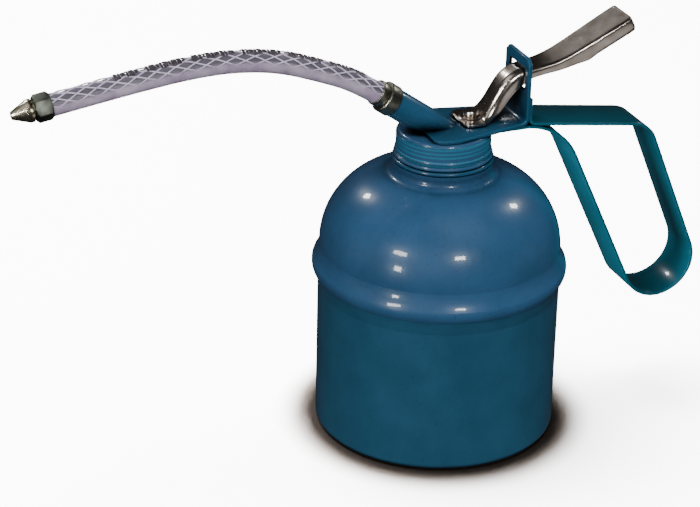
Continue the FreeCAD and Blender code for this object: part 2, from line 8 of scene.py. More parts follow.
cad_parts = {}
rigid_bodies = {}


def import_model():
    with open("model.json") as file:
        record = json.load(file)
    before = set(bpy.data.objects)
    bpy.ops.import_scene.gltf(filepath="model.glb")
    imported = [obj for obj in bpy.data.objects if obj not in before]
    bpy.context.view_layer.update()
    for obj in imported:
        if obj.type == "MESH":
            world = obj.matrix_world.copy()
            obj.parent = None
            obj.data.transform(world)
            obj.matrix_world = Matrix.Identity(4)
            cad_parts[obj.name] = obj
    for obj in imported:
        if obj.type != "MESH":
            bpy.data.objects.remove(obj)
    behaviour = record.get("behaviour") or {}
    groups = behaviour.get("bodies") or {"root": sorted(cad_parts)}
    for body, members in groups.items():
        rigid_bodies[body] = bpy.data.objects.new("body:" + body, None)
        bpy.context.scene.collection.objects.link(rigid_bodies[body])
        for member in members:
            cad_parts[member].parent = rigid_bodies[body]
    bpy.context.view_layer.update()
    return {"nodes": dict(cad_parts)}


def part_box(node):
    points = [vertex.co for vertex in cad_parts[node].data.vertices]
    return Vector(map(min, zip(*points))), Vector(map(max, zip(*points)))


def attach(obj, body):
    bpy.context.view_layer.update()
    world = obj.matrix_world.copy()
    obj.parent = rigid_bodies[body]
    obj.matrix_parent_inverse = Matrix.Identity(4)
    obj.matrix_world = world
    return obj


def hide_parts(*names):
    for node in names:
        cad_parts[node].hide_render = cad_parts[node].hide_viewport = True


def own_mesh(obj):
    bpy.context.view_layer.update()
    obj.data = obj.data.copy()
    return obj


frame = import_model()
nodes = frame["nodes"]
MM = 0.001

# Camera -------------------------------------------------------------------------------------------
# It looks down on the can from the spout's side of its front, from a metre away, with a long lens.
# The whole can stands to the right of the middle, because the spout reaches far to the left.

view_azimuth = math.radians(-23)
view_elevation = math.radians(26.05)
view_roll = math.radians(1.25)
towards_camera = Vector((
    math.sin(view_azimuth) * math.cos(view_elevation),
    -math.cos(view_azimuth) * math.cos(view_elevation),
    math.sin(view_elevation),
))
rightwards = Vector((math.cos(view_azimuth), math.sin(view_azimuth), 0))
upwards = towards_camera.cross(rightwards)
looked_at = Vector((0, 0, 60 * MM)) + rightwards * (-33.76 * MM) + upwards * (6.9 * MM)
camera_data = bpy.data.cameras.new("camera")
camera_data.lens = 135.1
camera_data.sensor_width = 36
camera = bpy.data.objects.new("camera", camera_data)
facing = Matrix((rightwards, upwards, towards_camera)).transposed().to_4x4()
camera.matrix_world = (
    Matrix.Translation(looked_at + towards_camera) @ facing @ Matrix.Rotation(view_roll, 4, "Z")
)
bpy.context.collection.objects.link(camera)
bpy.context.scene.camera = camera

# Hose ---------------------------------------------------------------------------------------------
# The spout is a clear vinyl hose on a liner, with a braid of white yarn between the two.
# It is pushed on a barbed tail at each end: the can's end is held by a nut and a crimped collar.

HOSE_R = 4.3 * MM
LINER_R = 3.45 * MM
hose_route = [
    (-23.16, 135.37),
    (-34.9, 143.8),
    (-49.5, 150.0),
    (-66.0, 156.0),
    (-84.0, 158.4),
    (-101.0, 157.8),
    (-117.2, 155.85),
    (-133.8, 153.5),
    (-150.2, 151.0),
]
hose_points = [Vector((x * MM, 0, z * MM)) for x, z in hose_route]


SIDEWAYS = Vector((0, 1, 0))


def link(name, mesh):
    """A new object with that mesh, in the scene."""
    piece = bpy.data.objects.new(name, mesh)
    bpy.context.collection.objects.link(piece)
    return piece


def smooth(mesh, sharp_degrees=None):
    """Smooth shading, but for the edges that turn by more than that."""
    for face in mesh.polygons:
        face.use_smooth = True
    if sharp_degrees:
        mesh.set_sharp_from_angle(angle=math.radians(sharp_degrees))


def evaluated(piece):
    """The piece's mesh with its modifiers or curve turned into plain faces."""
    bpy.context.view_layer.update()
    graph = bpy.context.evaluated_depsgraph_get()
    return bpy.data.meshes.new_from_object(piece.evaluated_get(graph))


def made_plain(piece):
    """Turns the piece's modifiers into plain faces."""
    plain = evaluated(piece)
    piece.modifiers.clear()
    piece.data = plain


def mesh_from(shape, name):
    """A mesh with what was built in the bmesh, which is then freed."""
    mesh = bpy.data.meshes.new(name)
    shape.to_mesh(mesh)
    shape.free()
    return mesh


def join_rows(shape, rows, closed=False):
    """Faces between each row of points and the next. A closed row runs on from its end to its start."""
    for low, high in zip(rows, rows[1:]):
        for here in range(len(low) if closed else len(low) - 1):
            after = (here + 1) % len(low)
            shape.faces.new([low[here], low[after], high[after], high[here]])


def nurbs_line(name, points, steps):
    """An evenly stepped line along the smooth spline that has these control points."""
    curve = bpy.data.curves.new(name, "CURVE")
    curve.dimensions = "3D"
    spline = curve.splines.new("NURBS")
    spline.points.add(len(points) - 1)
    for place, point in zip(spline.points, points):
        place.co = (*point, 1)
    spline.order_u = 3
    spline.use_endpoint_u = True
    spline.resolution_u = steps
    holder = link(name, curve)
    line = [vertex.co.copy() for vertex in evaluated(holder).vertices]
    bpy.data.objects.remove(holder)
    return line


def run_lengths(line):
    """How far along the line each of its points lies."""
    far = [0.0]
    for here, after in zip(line, line[1:]):
        far.append(far[-1] + (after - here).length)
    return far


def outward(ahead, angle):
    """The direction at that angle round a line that runs ahead. Angle 0 is the hose's underside."""
    under = ahead.cross(SIDEWAYS).normalized()
    return under * math.cos(angle) + SIDEWAYS * math.sin(angle)


def tube_along(name, line, radius, around):
    """An open tube round a line in the plane Y = 0. Its UV map is metres along and turns around."""
    shape = bmesh.new()
    uv = shape.loops.layers.uv.new("hose_uv")
    far = run_lengths(line)
    rings = []
    for number, point in enumerate(line):
        ahead = (line[min(number + 1, len(line) - 1)] - line[max(number - 1, 0)]).normalized()
        ring = []
        for step in range(around):
            turn = 2 * math.pi * step / around
            ring.append(shape.verts.new(point + outward(ahead, turn) * radius))
        rings.append(ring)
    for number in range(len(rings) - 1):
        for step in range(around):
            after = (step + 1) % around
            corners = [
                (rings[number][step], far[number], step),
                (rings[number][after], far[number], step + 1),
                (rings[number + 1][after], far[number + 1], step + 1),
                (rings[number + 1][step], far[number + 1], step),
            ]
            face = shape.faces.new([corner[0] for corner in corners])
            for loop, corner in zip(face.loops, corners):
                loop[uv].uv = (corner[1], corner[2] / around)
    bmesh.ops.recalc_face_normals(shape, faces=shape.faces)
    mesh = mesh_from(shape, name)
    smooth(mesh)
    return link(name, mesh)


def new_material(name, **settings):
    """A procedural material. Settings are the shader's own inputs, with _ for each space."""
    material = bpy.data.materials.new(name)
    material.use_nodes = True
    shader = material.node_tree.nodes["Principled BSDF"]
    for key, value in settings.items():
        shader.inputs[key.replace("_", " ").title().replace("Ior", "IOR")].default_value = value
    return material, material.node_tree, shader


def add_node(tree, kind, **values):
    """A shader node of that kind, with its settings."""
    node = tree.nodes.new("ShaderNode" + kind)
    for key, value in values.items():
        setattr(node, key, value)
    return node


def colour_steps(tree, factor, steps):
    """A colour ramp on a factor. A step is a position and a colour."""
    ramp = add_node(tree, "ValToRGB")
    while len(ramp.color_ramp.elements) < len(steps):
        ramp.color_ramp.elements.new(0.5)
    for element, (position, colour) in zip(ramp.color_ramp.elements, steps):
        element.position = position
        element.color = (*colour, 1)
    tree.links.new(factor, ramp.inputs["Fac"])
    return ramp.outputs["Color"]


def noise(tree, scale, detail=3.0):
    """Noise on the object's own coordinates, in metres. The scale is features per metre."""
    coordinates = add_node(tree, "TexCoord").outputs["Object"]
    texture = add_node(tree, "TexNoise")
    texture.inputs["Scale"].default_value = scale
    texture.inputs["Detail"].default_value = detail
    tree.links.new(coordinates, texture.inputs["Vector"])
    return texture.outputs["Fac"]


def bump(tree, shader, height, depth):
    """Relief of that depth in metres, on top of whatever relief the shader already has."""
    node = add_node(tree, "Bump")
    node.inputs["Distance"].default_value = depth
    node.inputs["Strength"].default_value = 1.0
    tree.links.new(height, node.inputs["Height"])
    below = shader.inputs["Normal"]
    if below.is_linked:
        tree.links.new(below.links[0].from_socket, node.inputs["Normal"])
    tree.links.new(node.outputs["Normal"], below)


def paint_over(piece, material):
    """Gives the whole piece that one material."""
    piece.data.materials.clear()
    piece.data.materials.append(material)


def hose_height(tree):
    """How high up the hose's side a point is, from 0 underneath to 0.5 on top."""
    place = add_node(tree, "SeparateXYZ")
    hose_map = add_node(tree, "UVMap", uv_map="hose_uv")
    tree.links.new(hose_map.outputs["UV"], place.inputs["Vector"])
    height = add_node(tree, "Math", operation="PINGPONG")
    height.inputs[1].default_value = 0.5
    tree.links.new(place.outputs["Y"], height.inputs[0])
    return height.outputs["Value"]


hose_line = nurbs_line("hose_line", hose_points, 12)
hose_length = run_lengths(hose_line)[-1]

# How far the liner's clouds shift the edge between its dark top and its pale lavender underside.
LINER_CLOUDS = 0.16
liner_finish, tree, shader = new_material("liner_dark_above_pale_below", roughness=0.4)
clouded = add_node(tree, "Math", operation="MULTIPLY_ADD")
tree.links.new(noise(tree, 140), clouded.inputs[0])
clouded.inputs[1].default_value = LINER_CLOUDS
tree.links.new(hose_height(tree), clouded.inputs[2])
# The liner is coloured pale lavender underneath and near black along its upper sides.
dark_above_pale_below = colour_steps(tree, clouded.outputs["Value"], [
    (0.24, (0.36, 0.30, 0.40)),
    (0.30, (0.16, 0.14, 0.19)),
    (0.35, (0.030, 0.030, 0.038)),
    (0.46, (0.035, 0.035, 0.045)),
    (0.58, (0.12, 0.11, 0.14)),
])
tree.links.new(dark_above_pale_below, shader.inputs["Base Color"])

skin_finish, tree, shader = new_material("clear_vinyl", roughness=0.2)
# The skin is opaque underneath and clear from its sides up.
opaque_below = colour_steps(tree, hose_height(tree), [
    (0.20, (0.90, 0.90, 0.90)),
    (0.27, (0.60, 0.60, 0.60)),
    (0.31, (0.10, 0.10, 0.10)),
])
tree.links.new(opaque_below, shader.inputs["Alpha"])
haze = colour_steps(tree, noise(tree, 170, 3), [(0.35, (0.27, 0.215, 0.30)), (0.65, (0.40, 0.345, 0.44))])
tree.links.new(haze, shader.inputs["Base Color"])
bump(tree, shader, noise(tree, 350, 2), 0.05 * MM)

yarn_finish, tree, shader = new_material("white_yarn", roughness=0.6)
fibre = colour_steps(tree, noise(tree, 900), [(0.3, (0.33, 0.29, 0.39)), (0.7, (0.50, 0.46, 0.57))])
tree.links.new(fibre, shader.inputs["Base Color"])

hose_liner = tube_along("hose_liner", hose_line, LINER_R, 32)
paint_over(hose_liner, liner_finish)
hose_skin = tube_along("hose_skin", hose_line, HOSE_R, 40)
paint_over(hose_skin, skin_finish)

# The braid: eight yarns wound each way round the liner, over and under, so that they cross in long
# diamonds.
far = run_lengths(hose_line)


def hose_place(distance, angle, radius):
    """The point at that distance along the hose, that angle round it and that radius from its line."""
    number = 1
    while number < len(far) - 1 and far[number] < distance:
        number += 1
    share = (distance - far[number - 1]) / (far[number] - far[number - 1])
    ahead = (hose_line[number] - hose_line[number - 1]).normalized()
    centre = hose_line[number - 1].lerp(hose_line[number], share)
    return centre + outward(ahead, angle) * radius


winding = bpy.data.node_groups.new("winding", "GeometryNodeTree")
winding.interface.new_socket("Line", in_out="INPUT", socket_type="NodeSocketGeometry")
winding_kinds = {
    "Strands": "Int",
    "Ways": "Int",
    "Points": "Int",
    "Pitch": "Float",
    "Winding Radius": "Float",
    "Strand Radius": "Float",
    "Weave Rise": "Float",
    "Finish": "Material",
}
winding_inputs = {
    label: winding.interface.new_socket(label, in_out="INPUT", socket_type="NodeSocket" + kind).identifier
    for label, kind in winding_kinds.items()
}
winding.interface.new_socket("Wound", in_out="OUTPUT", socket_type="NodeSocketGeometry")


def wound_node(kind, inputs, **values):
    """A node of the winding tree. An input is given another node's output or a plain value."""
    node = winding.nodes.new(kind)
    for key, value in values.items():
        setattr(node, key, value)
    for place, value in inputs.items():
        if isinstance(value, bpy.types.NodeSocket):
            winding.links.new(value, node.inputs[place])
        else:
            node.inputs[place].default_value = value
    return node


def worked(operation, *numbers):
    """The result of a calculation with numbers, in the winding tree."""
    return wound_node("ShaderNodeMath", dict(enumerate(numbers)), operation=operation).outputs[0]


def worked_vector(operation, *inputs):
    """The result of a calculation with vectors. What SCALE multiplies by is the node's fourth input."""
    places = dict(enumerate(inputs))
    if operation == "SCALE":
        places[3] = places.pop(1)
    return wound_node("ShaderNodeVectorMath", places, operation=operation).outputs[0]


given = winding.nodes.new("NodeGroupInput").outputs
line_curve = wound_node("GeometryNodeMeshToCurve", {"Mesh": given["Line"]}).outputs["Curve"]
even_curve = wound_node(
    "GeometryNodeResampleCurve", {"Curve": line_curve, "Count": given["Points"]}
).outputs["Curve"]
copies = wound_node("GeometryNodeDuplicateElements", {
    "Geometry": even_curve, "Amount": worked("MULTIPLY", given["Strands"], given["Ways"]),
}, domain="SPLINE").outputs
copy_number = copies["Duplicate Index"]
strand = worked("FLOOR", worked("DIVIDE", copy_number, given["Ways"]))
way = worked("SUBTRACT", 1.0, worked("MULTIPLY", 2.0, worked("MODULO", copy_number, given["Ways"])))
far_along = winding.nodes.new("GeometryNodeSplineParameter").outputs["Length"]
turned = worked("MULTIPLY", 2 * math.pi, worked("DIVIDE", far_along, given["Pitch"]))
start = worked("MULTIPLY", 2 * math.pi, worked("DIVIDE", strand, given["Strands"]))
angle = worked("ADD", worked("MULTIPLY", way, turned), start)
half_turn = worked("MULTIPLY", way, math.pi)
weave_start = worked("MULTIPLY", half_turn, worked("ADD", worked("MODULO", strand, 2.0), 0.5))
crossing = worked("ADD", worked("MULTIPLY", turned, given["Strands"]), weave_start)
rise = worked("MULTIPLY", given["Weave Rise"], worked("COSINE", crossing))
out_to = worked("ADD", given["Winding Radius"], rise)
tangent = winding.nodes.new("GeometryNodeInputTangent").outputs["Tangent"]
under = worked_vector("NORMALIZE", worked_vector("CROSS_PRODUCT", tangent, (0, 1, 0)))
aside = wound_node("ShaderNodeCombineXYZ", {"Y": worked("SINE", angle)}).outputs["Vector"]
outwards = worked_vector("ADD", worked_vector("SCALE", under, worked("COSINE", angle)), aside)
wound_curve = wound_node("GeometryNodeSetPosition", {
    "Geometry": copies["Geometry"], "Offset": worked_vector("SCALE", outwards, out_to),
}).outputs["Geometry"]
STRAND_SIDES = 6
round_section = wound_node(
    "GeometryNodeCurvePrimitiveCircle", {"Resolution": STRAND_SIDES, "Radius": given["Strand Radius"]}
).outputs["Curve"]
strands = wound_node("GeometryNodeCurveToMesh", {
    "Curve": wound_curve, "Profile Curve": round_section, "Fill Caps": True,
}).outputs["Mesh"]
realized = wound_node("GeometryNodeRealizeInstances", {"Geometry": strands}).outputs["Geometry"]
coloured = wound_node("GeometryNodeSetMaterial", {"Geometry": realized, "Material": given["Finish"]})
winding.links.new(coloured.outputs["Geometry"], winding.nodes.new("NodeGroupOutput").inputs["Wound"])


def wind(name, line, sizes):
    """Strands wound round a line, as a plain mesh."""
    mesh = bpy.data.meshes.new(name)
    mesh.from_pydata(line, [(number, number + 1) for number in range(len(line) - 1)], [])
    piece = link(name, mesh)
    modifier = piece.modifiers.new("winding", "NODES")
    modifier.node_group = winding
    for label, value in sizes.items():
        modifier[winding_inputs[label]] = value
    made_plain(piece)
    smooth(piece.data)
    return piece


hose_braid = wind("hose_braid", hose_line, {
    "Strands": 8,
    "Ways": 2,
    "Points": 200,
    "Pitch": 58 * MM,
    "Winding Radius": 3.8 * MM,
    "Strand Radius": 0.27 * MM,
    "Weave Rise": 0.12 * MM,
    "Finish": yarn_finish,
})

# The marks: plain black dashes printed along the top of the skin, in groups, with no lettering.
ink, tree, shader = new_material("printed_black", roughness=0.5)
worn = colour_steps(tree, noise(tree, 1200, 4), [(0.35, (0.012, 0.010, 0.012)), (0.75, (0.07, 0.06, 0.07))])
tree.links.new(worn, shader.inputs["Base Color"])
MARK_RADIUS = HOSE_R + 0.02 * MM
MARK_MIDDLE = math.radians(180 + 9)
MARK_HALF = math.radians(27)
MARK_ALONG = 3
MARK_ACROSS = 5
CLEAR_START = 14 * MM
CLEAR_END = 24 * MM
MARK_GAP = 0.35 * MM
GROUP_GAP = 2.8 * MM
GROUP_SIZE = 9
LOW_MARK = 0.6
dashes = (1.6, 0.8, 1.1, 2.2, 0.8, 1.3, 1.8, 0.7)
marks = bmesh.new()
distance = CLEAR_START
number = 0
while distance < hose_length - CLEAR_END:
    long = dashes[number % len(dashes)] * MM
    high = MARK_HALF * (1 if number % 3 else LOW_MARK)
    rows = []
    for along in range(MARK_ALONG + 1):
        row = []
        for across in range(MARK_ACROSS + 1):
            angle = MARK_MIDDLE + high * (across / (MARK_ACROSS / 2) - 1)
            place = hose_place(distance + long * along / MARK_ALONG, angle, MARK_RADIUS)
            row.append(marks.verts.new(place))
        rows.append(row)
    join_rows(marks, rows)
    number += 1
    distance += long + (MARK_GAP if number % GROUP_SIZE else GROUP_GAP)
marks_mesh = mesh_from(marks, "hose_marks")
smooth(marks_mesh)
hose_marks = link("hose_marks", marks_mesh)
paint_over(hose_marks, ink)

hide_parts("hose")
for piece in (hose_skin, hose_liner, hose_braid, hose_marks):
    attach(piece, "head")

# Floor and light ------------------------------------------------------------------------------------
# A white table in a dim room, and a broad lamp that whitens the table alone. Soft lamps light the can
# and don't show in its gloss, and five small windows do. The handle and the bright fittings also have
# lights of their own.

floor_shape = bmesh.new()
bmesh.ops.create_grid(floor_shape, x_segments=1, y_segments=1, size=3.0)
floor = link("floor", mesh_from(floor_shape, "floor"))
floor_finish, tree, shader = new_material("white_table", roughness=0.9, specular_ior_level=0.0)
# Painted shadow: the table's colour goes to near black where the can stands close over it, as a contact
# shadow.
open_sky = add_node(tree, "AmbientOcclusion", samples=16)
open_sky.inputs["Distance"].default_value = 17 * MM
shaded = colour_steps(tree, open_sky.outputs["AO"], [
    (0.65, (0.010, 0.008, 0.007)),
    (0.76, (0.10, 0.085, 0.075)),
    (0.90, (0.56, 0.54, 0.53)),
    (0.985, (0.92, 0.92, 0.92)),
])
tree.links.new(shaded, shader.inputs["Base Color"])
paint_over(floor, floor_finish)
floor.visible_glossy = False
floor.visible_diffuse = False
table_only = bpy.data.collections.new("table_only")
table_only.objects.link(floor)

sky = bpy.data.worlds.new("sky")
sky.use_nodes = True
sky.node_tree.nodes["Background"].inputs["Color"].default_value = (1, 1, 1, 1)
sky.node_tree.nodes["Background"].inputs["Strength"].default_value = 0.02
bpy.context.scene.world = sky


LIT_POINT = Vector((0, 0, 0.08))


def area_light(name, azimuth, elevation, distance, wide, high, power):
    """A rectangular light that faces the can. Azimuth 0 is in front of it, and 90 on its right."""
    lamp_data = bpy.data.lights.new(name, "AREA")
    lamp_data.shape = "RECTANGLE"
    lamp_data.size = wide
    lamp_data.size_y = high
    lamp_data.energy = power
    lamp = bpy.data.objects.new(name, lamp_data)
    around, above = math.radians(azimuth), math.radians(elevation)
    out = Vector((
        math.sin(around) * math.cos(above),
        -math.cos(around) * math.cos(above),
        math.sin(above),
    ))
    lamp.location = LIT_POINT + out * distance
    lamp.rotation_euler = out.to_track_quat("Z", "Y").to_euler()
    bpy.context.collection.objects.link(lamp)
    return lamp


table_lamp = area_light("table_lamp", azimuth=205, elevation=72, distance=1.6, wide=1.4, high=1.4, power=420)
table_lamp.light_linking.receiver_collection = table_only
all_but_handle = bpy.data.collections.new("all_but_handle")
soft_lamps = (
    area_light("overhead", azimuth=10, elevation=66, distance=1.2, wide=0.8, high=0.8, power=14),
    area_light("fill", azimuth=-26, elevation=20, distance=1.5, wide=1.2, high=1.2, power=18),
    area_light("low_left", azimuth=-105, elevation=3, distance=1.2, wide=0.7, high=0.3, power=4),
    area_light("low_right", azimuth=62, elevation=3, distance=1.2, wide=0.7, high=0.3, power=5),
)
for soft_lamp in soft_lamps:
    soft_lamp.visible_glossy = False
soft_lamps[0].light_linking.receiver_collection = all_but_handle
handle_only = bpy.data.collections.new("handle_only")
side_lamp = area_light("handle_side", azimuth=-88, elevation=-8, distance=0.9, wide=0.6, high=0.5, power=20)
side_lamp.visible_glossy = False
side_lamp.light_linking.receiver_collection = handle_only
side_lamp.light_linking.blocker_collection = handle_only
area_light("window_left", azimuth=-64, elevation=25, distance=1.2, wide=0.24, high=0.11, power=4)
area_light("window_left_low", azimuth=-62, elevation=4, distance=1.2, wide=0.12, high=0.14, power=3)
area_light("window_front", azimuth=-4, elevation=26, distance=1.2, wide=0.17, high=0.10, power=4)
area_light("window_rear_left", azimuth=-159, elevation=36, distance=1.2, wide=0.11, high=0.11, power=3)
area_light("window_rear_right", azimuth=102, elevation=39, distance=1.2, wide=0.11, high=0.11, power=3)
fittings_only = bpy.data.collections.new("fittings_only")
for azimuth, elevation, power in ((-170, 35, 0.24), (23, -26, 0.45), (-80, 55, 0.7)):
    card = area_light("white_card", azimuth, elevation, distance=0.9, wide=0.7, high=0.45, power=power)
    card.light_linking.receiver_collection = fittings_only
    card.light_linking.blocker_collection = fittings_only

# Can: cup and dome ------------------------------------------------------------------------------------
# The cup and the shoulder are drawn from steel sheet and locked together under the rolled bead.
# The outside is sprayed with a deep blue gloss enamel, which pulls a little as it dries.


def multiplied(tree, colour, by, share):
    """A colour times another one, taken by that share."""
    mixed = add_node(tree, "Mix", data_type="RGBA", blend_type="MULTIPLY")
    mixed.inputs["Factor"].default_value = share
    tree.links.new(colour, mixed.inputs[6])
    tree.links.new(by, mixed.inputs[7])
    return mixed.outputs[2]


THINNED_BLUE_AND_HIGHLIGHT = (0.02, 0.17, 0.24, 1)


def enamel(name, edge_wear_and_highlight, dark, light, reach=3.5 * MM, closed=0.4):
    """Blue gloss paint. Edge wear and highlight, from 0 to 1, pales sharp edges: worn paint and painted
    highlight.

    Reach is how far off another surface still darkens it with painted shade, and closed is how little of
    the open air is left where that painted shade has gone black.
    """
    material, tree, shader = new_material(
        name, roughness=0.3, specular_ior_level=0.25, coat_weight=0.4, coat_roughness=0.06
    )
    deep = colour_steps(tree, noise(tree, 60, 4), [(0.3, dark), (0.7, light)])
    speck = colour_steps(tree, noise(tree, 1500, 2), [(0.28, (0.35, 0.35, 0.35)), (0.36, (1, 1, 1))])
    colour = multiplied(tree, deep, speck, 0.5)
    # Sharp edges turn a paler blue: partly paint worn thin, and partly a painted highlight.
    if edge_wear_and_highlight:
        rounded = add_node(tree, "Bevel", samples=4)
        rounded.inputs["Radius"].default_value = 0.5 * MM
        flat = add_node(tree, "NewGeometry")
        likeness = add_node(tree, "VectorMath", operation="DOT_PRODUCT")
        tree.links.new(rounded.outputs["Normal"], likeness.inputs[0])
        tree.links.new(flat.outputs["Normal"], likeness.inputs[1])
        edge = colour_steps(tree, likeness.outputs["Value"], [
            (0.86, (edge_wear_and_highlight, edge_wear_and_highlight, edge_wear_and_highlight)),
            (0.985, (0, 0, 0)),
        ])
        thinned_and_lit_edge = add_node(tree, "Mix", data_type="RGBA")
        tree.links.new(edge, thinned_and_lit_edge.inputs["Factor"])
        tree.links.new(colour, thinned_and_lit_edge.inputs[6])
        thinned_and_lit_edge.inputs[7].default_value = THINNED_BLUE_AND_HIGHLIGHT
        colour = thinned_and_lit_edge.outputs[2]
    # Painted shade: the colour goes to near black where other surfaces close in, in corners, gaps and under
    # overhangs.
    crevice = add_node(tree, "AmbientOcclusion", samples=8)
    crevice.inputs["Distance"].default_value = reach
    painted_crevice_shade = colour_steps(tree, crevice.outputs["AO"], [(closed, (0.02, 0.02, 0.02)), (0.9, (1, 1, 1))])
    tree.links.new(multiplied(tree, colour, painted_crevice_shade, 1.0), shader.inputs["Base Color"])
    bump(tree, shader, noise(tree, 260, 2), 0.03 * MM)
    bump(tree, shader, noise(tree, 1100, 1), 0.004 * MM)
    return material


# The dome's and the cap's blues are lighter, bluer copies of the can's, as painted reflected light. The
# dome's and the bracket's blues darken far out from the corners round them, as painted shade.
can_enamel = enamel("can_enamel", 0, (0.0115, 0.043, 0.076), (0.0150, 0.054, 0.096))
dome_enamel_painted_light = enamel("dome_enamel_painted_light", 0, (0.0140, 0.045, 0.093), (0.0185, 0.056, 0.118), 9 * MM, 0.68)
edge_enamel = enamel("edge_enamel", 0.8, (0.0085, 0.038, 0.072), (0.0120, 0.047, 0.090), 12 * MM, 0.5)
cap_enamel_painted_light = enamel("cap_enamel_painted_light", 0.4, (0.0150, 0.045, 0.092), (0.0195, 0.055, 0.114), 3 * MM, 0.45)
handle_enamel = enamel("handle_enamel", 0.9, (0.0060, 0.060, 0.088), (0.0085, 0.078, 0.112), 2 * MM)
paint_over(nodes["can_body"], can_enamel)
paint_over(nodes["dome"], dome_enamel_painted_light)


# Bare metals --------------------------------------------------------------------------------------------
# The fittings are turned from steel or brass and plated, and the pump inside is drawn brass.


def metal(name, light, dark, roughness, grain, blotch=90):
    """Plated or bare metal that varies from light to dark in soft blotches, with fine grain."""
    material, tree, shader = new_material(name, metallic=1.0, roughness=roughness)
    colour = colour_steps(tree, noise(tree, blotch, 4), [(0.35, dark), (0.65, light)])
    tree.links.new(colour, shader.inputs["Base Color"])
    rough = add_node(tree, "MapRange")
    tree.links.new(noise(tree, blotch * 4, 3), rough.inputs["Value"])
    rough.inputs["To Min"].default_value = roughness * 0.7
    rough.inputs["To Max"].default_value = roughness * 1.4
    tree.links.new(rough.outputs["Result"], shader.inputs["Roughness"])
    bump(tree, shader, noise(tree, grain, 3), 0.01 * MM)
    return material


nickel = metal("bright_nickel", (0.80, 0.71, 0.63), (0.50, 0.42, 0.36), 0.2, 700, 150)
olive_steel = metal("olive_steel", (0.36, 0.36, 0.29), (0.18, 0.185, 0.15), 0.36, 1400, 260)
tip_steel = metal("tip_steel", (0.20, 0.215, 0.18), (0.09, 0.097, 0.08), 0.42, 1400, 260)
pale_brass = metal("pale_brass", (0.80, 0.73, 0.56), (0.50, 0.44, 0.30), 0.24, 1600, 260)
drawn_brass = metal("drawn_brass", (0.78, 0.58, 0.26), (0.55, 0.38, 0.14), 0.28, 900)
zinc = metal("zinc_plate", (0.66, 0.67, 0.68), (0.45, 0.46, 0.48), 0.35, 1200)
polished = metal("polished_steel", (0.75, 0.75, 0.76), (0.62, 0.62, 0.64), 0.1, 500)

finishes = {
    olive_steel: ("hose_nut", "hose_collar"),
    tip_steel: ("tip_nut",),
    pale_brass: ("nozzle",),
    drawn_brass: (
        "hose_barb", "tip_insert", "delivery_tube", "gland_bush",
        "pump_barrel", "foot_valve", "strainer", "piston",
    ),
    zinc: ("ball_stop", "dip_tube", "piston_nut", "piston_valve"),
    polished: ("inlet_ball",),
    nickel: ("lever", "lever_rod"),
    edge_enamel: ("neck", "bracket", "screw_cap", "spout_stub"),
    handle_enamel: ("handle",),
}
for finish, names in finishes.items():
    for name in names:
        paint_over(nodes[name], finish)

# The spring that brings the plunger down is a close coil of wire between the packing and the rod's collar.
spring_low, spring_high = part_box("return_spring")
SPRING_WIRE_R = 0.3 * MM
SPRING_TURNS = 7
spring_middle = (spring_low[0] + spring_high[0]) / 2
spring_ends = (spring_low[2] + SPRING_WIRE_R, spring_high[2] - SPRING_WIRE_R)
return_coil = wind("return_coil", [Vector((spring_middle, 0, height)) for height in spring_ends], {
    "Strands": 1,
    "Ways": 1,
    "Points": 240,
    "Pitch": (spring_ends[1] - spring_ends[0]) / SPRING_TURNS,
    "Winding Radius": 2.6 * MM,
    "Strand Radius": SPRING_WIRE_R,
    "Weave Rise": 0.0,
    "Finish": zinc,
})
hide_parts("return_spring")
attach(return_coil, "head")
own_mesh(return_coil)

leather, tree, shader = new_material("oiled_leather", roughness=0.5)
hide = colour_steps(tree, noise(tree, 500, 5), [(0.3, (0.10, 0.045, 0.018)), (0.7, (0.20, 0.10, 0.045))])
tree.links.new(hide, shader.inputs["Base Color"])
bump(tree, shader, noise(tree, 1500, 4), 0.05 * MM)
for name in ("cup_leather", "packing_washer"):
    paint_over(nodes[name], leather)

rubber, tree, shader = new_material("black_rubber", roughness=0.6)
soot = colour_steps(tree, noise(tree, 400, 3), [(0.3, (0.015, 0.015, 0.015)), (0.7, (0.035, 0.035, 0.033))])
tree.links.new(soot, shader.inputs["Base Color"])
bump(tree, shader, noise(tree, 1800, 3), 0.03 * MM)
paint_over(nodes["cap_gasket"], rubber)


# Cap ----------------------------------------------------------------------------------------------------
# The cap is pressed from the same sheet as the can. Its thread is rolled into its side, so it shows
# as a shallow helix outside, and two rolled rings stand out at its foot. It is sprayed blue as well.


def lathe_grid(radius_at, heights, around):
    """A surface round the Z axis. radius_at gives a radius for a height and an angle in turns."""
    shape = bmesh.new()
    rings = []
    for height in heights:
        ring = []
        for step in range(around):
            turn = 2 * math.pi * step / around
            radius = radius_at(height, step / around)
            ring.append(shape.verts.new((radius * math.cos(turn), radius * math.sin(turn), height)))
        rings.append(ring)
    join_rows(shape, rings, closed=True)
    return shape


def open_edges(shape):
    """The edges that have a face on one side only."""
    return [edge for edge in shape.edges if edge.is_boundary]


def new_points(made):
    """The points among what a bmesh operator made."""
    return [item for item in made["geom"] if isinstance(item, bmesh.types.BMVert)]


CAP_ROOT_R = 17.3 * MM
CAP_CREST = 0.5 * MM
CAP_PITCH = 1.55 * MM
THREAD_TURNS = 5.0
THREAD_START = 3.2 * MM
THREAD_FADE = 0.25
cap_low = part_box("screw_cap")[0][2]
cap_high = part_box("screw_cap")[1][2]
ROUNDING = 1.2 * MM
CAP_SHEET = 0.6 * MM
CAP_TOP = 1.2 * MM
CAP_ROWS = 90
CAP_SIDES = 180
# Height above the cap's lower edge, and how far the rolled rim stands out there.
rim_outline = [
    (0.0, 1.15),
    (0.5, 1.35),
    (1.1, 1.2),
    (1.5, 0.45),
    (1.9, 0.5),
    (2.5, 0.85),
    (3.1, 0.6),
    (3.5, 0.0),
]


